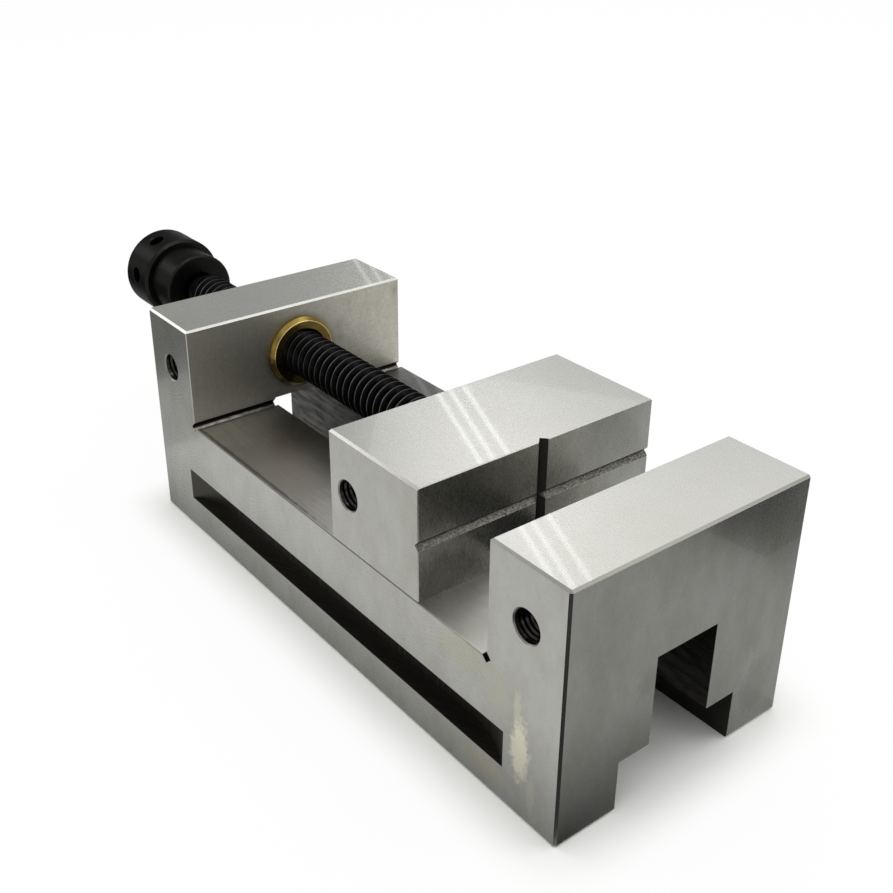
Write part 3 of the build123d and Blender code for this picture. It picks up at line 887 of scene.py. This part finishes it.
@dataclass
class LeadScrew:
    """The lead screw with its real thread. Lengths are in millimetres along X."""

    rack: FinishRack
    axis_z: float = SCREW_AXIS_Z
    rear_x: float = -168.4
    hub_x: float = -131.1
    neck_end_x: float = -126.1
    full_thread_x: float = -122.0
    shoulder_x: float = 55.35
    nose_end_x: float = 83.9
    groove_x: Pair = (63.1, 68.7)
    thread_radius: float = 9.5
    root_radius: float = 7.45
    neck_radius: float = 8.3
    shank_radius: float = 7.0
    nose_radius: float = 7.0
    groove_radius: float = 5.0
    ball_radius: float = 4.1
    socket_depth: float = 3.8
    centre_radius: float = 2.0
    pitch: float = 4.0
    crest_x: float = -36.17
    edge: float = 0.8
    shoulder_chamfer: float = 1.5
    core_gap: float = 0.05
    sharp_deg: float = 35.0

    def form(self) -> ThreadForm:
        """Gives the trapezoidal thread's shape, with its crest rounded by wear."""
        crest, root = self.thread_radius, self.root_radius
        points = (
            (0.0, crest), (0.05, crest - 0.02), (0.10, crest - 0.09), (0.14, crest - 0.22), (0.29, root + 0.15),
            (0.32, root), (0.68, root), (0.71, root + 0.15), (0.86, crest - 0.22), (0.90, crest - 0.09),
            (0.95, crest - 0.02),
        )
        return ThreadForm(self.pitch, points)

    def build(self) -> Piece:
        """Builds the screw in place of its plain CAD node.

        Returns:
            The screw's object.
        """
        turning = Turning(self.axis_z)
        core_radius = self.root_radius - self.core_gap
        turning.lathe([
            (self.rear_x + self.centre_radius, 0.0), (self.rear_x, self.centre_radius),
            (self.rear_x, self.shank_radius - self.edge), (self.rear_x + self.edge, self.shank_radius),
            (self.hub_x, self.shank_radius), (self.hub_x, self.neck_radius),
            (self.neck_end_x, self.neck_radius), (self.neck_end_x, core_radius),
            (self.shoulder_x, core_radius), (self.shoulder_x, self.nose_radius),
            (self.groove_x[0], self.nose_radius), (self.groove_x[0], self.groove_radius),
            (self.groove_x[1], self.groove_radius), (self.groove_x[1], self.nose_radius),
            (self.nose_end_x - self.edge, self.nose_radius), (self.nose_end_x, self.nose_radius - self.edge),
            (self.nose_end_x, self.ball_radius), (self.nose_end_x - self.socket_depth, self.ball_radius),
            (self.nose_end_x - self.socket_depth, 0.0),
        ])
        envelope = Envelope((
            (self.neck_end_x, self.neck_radius),
            (self.full_thread_x, self.thread_radius),
            (self.shoulder_x - self.shoulder_chamfer, self.thread_radius),
            (self.shoulder_x, self.thread_radius - self.shoulder_chamfer),
        ))
        turning.thread(self.form(), self.neck_end_x, self.shoulder_x, self.crest_x, envelope)
        screw = make_piece("lead_screw_threaded", turning.points, turning.faces, self.sharp_deg)
        self.rack.dress(screw, OXIDE_SCREW)
        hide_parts("lead_screw")
        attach(screw, Body.SCREW.value)
        return screw


@dataclass
class TappedHole:
    """The thread inside one side hole, as a ridge on the wall of the plain CAD hole.

    It rises over its lead-in from a start inside the countersunk mouth, and its roots stand just proud of
    the wall.
    """

    rack: FinishRack
    name: str
    body: Body
    side: Side
    x: float
    depth: float
    axis_z: float = SCREW_AXIS_Z
    half_width: float = 50.0
    wall_radius: float = 5.1
    crest_radius: float = 4.62
    pitch: float = 1.75
    start: float = 0.3
    lead_in: float = 1.6
    root_gap: float = 0.02
    end_gap: float = 0.05
    segments: int = 48
    sharp_deg: float = 30.0

    def build(self) -> Piece:
        """Builds the thread.

        Returns:
            The thread's object.
        """
        crest, root = self.crest_radius, self.wall_radius - self.root_gap
        form = ThreadForm(self.pitch, ((0.0, crest), (0.08, crest), (0.42, root), (0.58, root), (0.92, crest)))
        envelope = Envelope((
            (self.start, self.wall_radius + self.end_gap), (self.start + self.lead_in, crest), (self.depth, crest),
        ), inward=True)
        turning = Turning(0.0, self.segments)
        turning.thread(form, self.start, self.depth, self.start, envelope)
        sign = self.side.value
        points = [
            (self.x - sign * y, sign * (self.half_width - inward), self.axis_z + z)
            for inward, y, z in turning.points
        ]
        thread = make_piece(self.name, points, turning.faces, self.sharp_deg)
        self.rack.dress(thread, TAPPED)
        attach(thread, self.body.value)
        return thread


def thread_sides(rack: FinishRack, name: str, body: Body, x: float, depth: float) -> list[Piece]:
    """Builds the threads in the two side holes at x."""
    return [TappedHole(rack, f"{name}_{side.name.lower()}", body, side, x, depth).build() for side in Side]


@dataclass
class ViseBody:
    """The one-piece body with its brass nut."""

    rack: FinishRack
    fixed_hole_x: float = 153.15
    block_hole_x: float = -59.6
    thread_depth: float = 17.6

    def build(self) -> list[Piece]:
        """Dresses the body and threads its side holes.

        Returns:
            The new pieces.
        """
        self.rack.dress_nodes(BODY_STEEL, ["vise_body"])
        self.rack.dress_nodes(TURNED_BRASS, ["screw_bush"])
        self.rack.dress_nodes(OXIDE_FASTENER, ["bush_lock_screw_near", "bush_lock_screw_far"])
        threads = thread_sides(self.rack, "fixed_jaw_thread", Body.VISE, self.fixed_hole_x, self.thread_depth)
        threads += thread_sides(self.rack, "rear_block_thread", Body.VISE, self.block_hole_x, self.thread_depth)
        return threads


@dataclass
class MovingJaw:
    """The sliding jaw with its keeper plate and the parts that hold the screw's nose."""

    rack: FinishRack
    hole_x: float = 65.9
    thread_depth: float = 14.0

    def build(self) -> list[Piece]:
        """Dresses the jaw and threads its side holes.

        Returns:
            The new pieces.
        """
        self.rack.dress_nodes(JAW_STEEL, ["movable_jaw"])
        self.rack.dress_nodes(GROUND, ["plate_dowels", "thrust_washer", "thrust_button"])
        self.rack.dress_nodes(MILLED, ["hold_down_plate"])
        self.rack.dress_nodes(TURNED_BRONZE, ["nose_bush"])
        screws = ["hold_down_screws", "spring_washers"]
        screws += [f"nose_{kind}_screw_{side.name.lower()}" for kind in ("dog", "jam") for side in Side]
        self.rack.dress_nodes(OXIDE_FASTENER, screws)
        return thread_sides(self.rack, "movable_jaw_thread", Body.JAW, self.hole_x, self.thread_depth)


@dataclass
class Knob:
    """The knob with its tommy-bar holes and cross pin."""

    rack: FinishRack

    def build(self) -> None:
        """Dresses the knob, its pin and the ball in the screw's nose."""
        self.rack.dress_nodes(OXIDE_KNOB, ["knob"])
        self.rack.dress_nodes(OXIDE_FASTENER, ["knob_roll_pin"])
        self.rack.dress_nodes(GROUND, ["thrust_ball"])


@dataclass(frozen=True)
class Lamp:
    """One soft lamp, hidden from the camera: a rectangle that faces a point. Lengths are in metres."""

    name: str
    place: Point
    target: Point
    size: Pair
    radiance: float
    along: Point = (0.0, 0.0, 1.0)

    def build(self) -> None:
        """Adds the lamp."""
        data = bpy.data.lights.new(self.name, "AREA")
        data.shape = "RECTANGLE"
        data.size, data.size_y = self.size
        data.energy = self.radiance * math.pi * self.size[0] * self.size[1]
        lamp = bpy.data.objects.new(self.name, data)
        back = (Vector(self.place) - Vector(self.target)).normalized()
        right = Vector(self.along).cross(back).normalized()
        turn = Matrix((right, back.cross(right), back)).transposed()
        lamp.matrix_world = Matrix.Translation(self.place) @ turn.to_4x4()
        lamp.visible_camera = False
        bpy.context.scene.collection.objects.link(lamp)


@dataclass(frozen=True)
class ReflectedShade:
    """Painted shade on the floor, which only the polished faces' reflections show: the vise's contact shadow and
    darker floor around it.

    It lies level at a height above the floor, with a tone at each corner or one for all. Lengths are in
    metres.
    """

    name: str
    height: float
    corners: tuple[Pair, ...]
    tones: tuple[float, ...]

    def build(self) -> None:
        """Adds the painted shade, which only reflections show."""
        points = [(x / MM, y / MM, self.height / MM) for x, y in self.corners]
        shade_sheet = make_piece(self.name, points, [(0, 1, 2, 3)], FLAT_SHARP_DEG)
        shades = shade_sheet.data.color_attributes.new("tone", "FLOAT_COLOR", "POINT")
        tones = self.tones * (len(points) // len(self.tones))
        for corner, tone in zip(shades.data, tones):
            corner.color = (tone, tone, tone, 1.0)
        material = bpy.data.materials.new(self.name)
        graph = Graph(material)
        tone = graph.add("VertexColor", {"layer_name": "tone"})
        paint = graph.add("Emission", {"Color": tone, "Strength": 1.0})
        graph.add("OutputMaterial", {"Surface": paint})
        shade_sheet.data.materials.append(material)
        shade_sheet.visible_camera = False
        shade_sheet.visible_diffuse = False
        shade_sheet.visible_shadow = False
        shade_sheet.visible_transmission = False


SOFTBOXES = (
    Lamp("overhead_softbox", (0.1, -0.1, 1.7), (0.0, 0.0, 0.05), (0.75, 0.75), 4.0),
    Lamp("rear_softbox", (-0.95, 1.55, 1.38), (0.05, 0.0, 0.08), (1.7, 0.72), 1.22),
    Lamp("left_softbox", (-1.22, -0.60, 0.72), (0.0, 0.0, 0.08), (0.6, 0.5), 2.4),
    Lamp("right_softbox", (0.50, 0.69, 1.30), (0.05, 0.0, 0.08), (0.6, 0.6), 1.4),
    Lamp("edge_softbox", (0.72, 0.66, 0.66), (0.17, 0.0, 0.09), (0.36, 0.36), 1.6),
)

# The tubes over the bench, in two rows of three: where each starts and ends, and its radiance.
TUBES = (
    ((-3.10, 2.43), (-1.75, 1.87), 6.0), ((-3.07, 2.48), (-1.73, 1.91), 6.0), ((-3.05, 2.54), (-1.73, 1.98), 6.0),
    ((-5.20, 3.30), (-3.10, 2.43), 3.0), ((-5.17, 3.36), (-3.07, 2.48), 3.0), ((-5.15, 3.42), (-3.05, 2.54), 3.0),
)
TUBE_HEIGHT = 2.0
TUBE_WIDTH = 0.02

# Painted floor shade seen only in reflections: the contact shadow at the vise's foot and darker floor to its sides.
REFLECTED_SHADES = (
    ReflectedShade("grey_floor_shade_right", 0.0003, ((0.1698, -0.25), (0.60, -0.25), (0.60, 0.30), (0.1698, 0.15)), (0.50,)),
    ReflectedShade("black_floor_shade_right", 0.0006, ((0.228, 0.120), (0.60, 0.07), (0.60, 0.60), (0.25, 0.50)), (0.05,)),
    ReflectedShade("black_floor_shade_front", 0.0006, ((0.1696, -0.0515), (0.19, -0.35), (0.50, -0.35), (0.40, -0.14)), (0.03,)),
    ReflectedShade(
        "shade_front", 0.0006, ((0.1696, -0.0495), (0.205, -0.0495), (0.205, 0.052), (0.1696, 0.052)),
        (0.05, 0.50, 0.50, 0.40),
    ),
    ReflectedShade("pale_floor_shade_side", 0.0003, ((-0.12, -0.078), (-0.12, -0.40), (0.17, -0.40), (0.17, -0.078)), (0.92,)),
    ReflectedShade(
        "shade_side", 0.0006, ((-0.12, -0.0501), (-0.12, -0.079), (0.1696, -0.079), (0.1696, -0.0501)),
        (0.36, 0.90, 0.90, 0.36),
    ),
    ReflectedShade("grey_floor_shade_left", 0.0004, ((-0.12, -0.40), (-0.12, -0.0501), (-0.70, -0.0501), (-0.70, -0.40)), (0.55,)),
    ReflectedShade("darker_floor_shade_left", 0.0008, ((-0.19, -0.40), (-0.19, -0.0501), (-0.70, -0.0501), (-0.70, -0.40)), (0.22,)),
)


@dataclass
class Studio:
    """A pale floor, a room that is white at the horizon and greyer above, and soft lamps.

    The room's tones change over bands of height, from 0 at the horizon to 1 overhead. The footprint is the
    middle of the vise's body along X and half its length and width. Lengths are in metres.
    """

    floor_size: float = 12.0
    floor_colour: str = "#F4F4F2"
    floor_glow: float = 0.9
    glow_start: float = 0.022
    horizon: float = 1.0
    room: float = 0.49
    room_band: Pair = (0.10, 0.32)
    ceiling: float = 0.95
    ceiling_band: Pair = (0.58, 0.70)
    footprint: tuple[float, float, float] = (0.047, 0.122, 0.05)

    def build_world(self) -> None:
        """Makes the room: white near the horizon, grey above it and pale overhead."""
        world = bpy.data.worlds.new("pale_studio")
        bpy.context.scene.world = world
        graph = Graph(world)
        up = graph.add("SeparateXYZ", {0: graph.add("TexCoord").outputs["Generated"]}).outputs[2]
        low, high = self.room_band
        level = graph.add("MapRange.SMOOTHSTEP", {0: up, 1: low, 2: high, 3: self.horizon, 4: self.room})
        low, high = self.ceiling_band
        upper = graph.add("MapRange", {0: up, 1: low, 2: high, 4: self.ceiling - self.room})
        total = graph.add("Math.ADD", {0: level, 1: upper})
        light = graph.add("Background", {"Strength": total, "Color": WHITE})
        graph.add("OutputWorld", {"Surface": light})

    def clear_of_vise(self, graph: Graph) -> Node:
        """Adds a factor that is 0 on the floor under the vise and 1 away from it.

        Args:
            graph: The floor's nodes.

        Returns:
            The node that gives the factor.
        """
        middle, half_x, half_y = self.footprint
        coords = graph.add("TexCoord")
        offset = graph.add("VectorMath.SUBTRACT", {0: coords.outputs["Object"], 1: (middle, 0.0, 0.0)})
        size = graph.add("VectorMath.ABSOLUTE", {0: offset})
        beyond = graph.add("VectorMath.SUBTRACT", {0: size, 1: (half_x, half_y, 0.0)})
        outside = graph.add("VectorMath.MAXIMUM", {0: beyond, 1: (0.0, 0.0, 0.0)})
        reach = graph.add("VectorMath.LENGTH", {0: outside}).outputs["Value"]
        return graph.add("MapRange.SMOOTHSTEP", {0: reach, 1: 0.0, 2: self.glow_start})

    def build_floor(self) -> None:
        """Makes the floor: white where it is seen or reflected, with the vise's soft shadow close to it."""
        half = self.floor_size / 2 / MM
        corners = [(-half, -half, 0.0), (half, -half, 0.0), (half, half, 0.0), (-half, half, 0.0)]
        floor = make_piece("studio_floor", corners, [(0, 1, 2, 3)], FLAT_SHARP_DEG)
        material = bpy.data.materials.new("paper_matt_white")
        graph = Graph(material)
        paper = graph.add("BsdfDiffuse", {"Color": to_linear(self.floor_colour)})
        glow = graph.add("Emission", {"Color": WHITE, "Strength": 1.0})
        path = graph.add("LightPath").outputs
        seen = graph.add("Math.MAXIMUM", {0: path["Is Camera Ray"], 1: path["Is Glossy Ray"]})
        seen = graph.add("Math.MAXIMUM", {0: seen, 1: path["Is Transmission Ray"]})
        share = graph.add("Math.MULTIPLY", {0: seen, 1: self.floor_glow})
        share = graph.add("Math.MULTIPLY", {0: share, 1: self.clear_of_vise(graph)})
        mix = graph.add("MixShader", {0: share, 1: paper, 2: glow})
        graph.add("OutputMaterial", {"Surface": mix})
        floor.data.materials.append(material)

    def build_lamps(self) -> None:
        """Adds the soft boxes, the tubes over the bench and the painted floor shade that only reflections show."""
        lamps = list(SOFTBOXES)
        for number, ((x0, y0), (x1, y1), radiance) in enumerate(TUBES, 1):
            x, y = (x0 + x1) / 2, (y0 + y1) / 2
            size = (TUBE_WIDTH, math.hypot(x1 - x0, y1 - y0))
            along = (x1 - x0, y1 - y0, 0.0)
            lamps.append(Lamp(f"tube_{number}", (x, y, TUBE_HEIGHT), (x, y, 0.0), size, radiance, along))
        for item in (*lamps, *REFLECTED_SHADES):
            item.build()
            log.info("%s %s", type(item).__name__.lower(), item.name)

    def build(self) -> None:
        """Makes the whole studio."""
        self.build_world()
        self.build_floor()
        self.build_lamps()


@dataclass
class PhotoCamera:
    """The camera at the photograph's place. Angles are in degrees, its place in metres, lens and sensor in mm."""

    place: Point = (0.34544, -0.23014, 0.26697)
    azimuth: float = 51.4036
    elevation: float = 26.5755
    roll: float = 0.6386
    lens: float = 47.8381
    sensor: float = 36.0
    shift: Pair = (-0.00641, -0.04191)
    clip: Pair = (0.01, 50.0)

    def build(self) -> None:
        """Adds the camera and makes it the scene's."""
        data = bpy.data.cameras.new("photo_camera")
        data.lens = self.lens
        data.sensor_width = self.sensor
        data.shift_x, data.shift_y = self.shift
        data.clip_start, data.clip_end = self.clip
        camera = bpy.data.objects.new("photo_camera", data)
        bpy.context.scene.collection.objects.link(camera)
        a, e = math.radians(self.azimuth), math.radians(self.elevation)
        back = Vector((math.sin(a) * math.cos(e), -math.cos(a) * math.cos(e), math.sin(e)))
        level = (-back).to_track_quat("-Z", "Y").to_matrix().to_4x4()
        roll = Matrix.Rotation(math.radians(self.roll), 4, "Z")
        camera.matrix_world = Matrix.Translation(self.place) @ level @ roll
        bpy.context.scene.camera = camera


def main() -> None:
    """Builds the camera, the studio and the vise, in that order."""
    logging.basicConfig(level=logging.INFO, format="%(name)s: %(message)s")
    bpy.context.scene.view_settings.view_transform = "Standard"
    PhotoCamera().build()
    Studio().build()
    rack = FinishRack()
    pieces = ViseBody(rack).build() + MovingJaw(rack).build()
    pieces.append(LeadScrew(rack).build())
    Knob(rack).build()
    for piece in pieces:
        log.info("%s: %d faces", piece.name, len(piece.data.polygons))


if __name__ == "__main__":
    main()
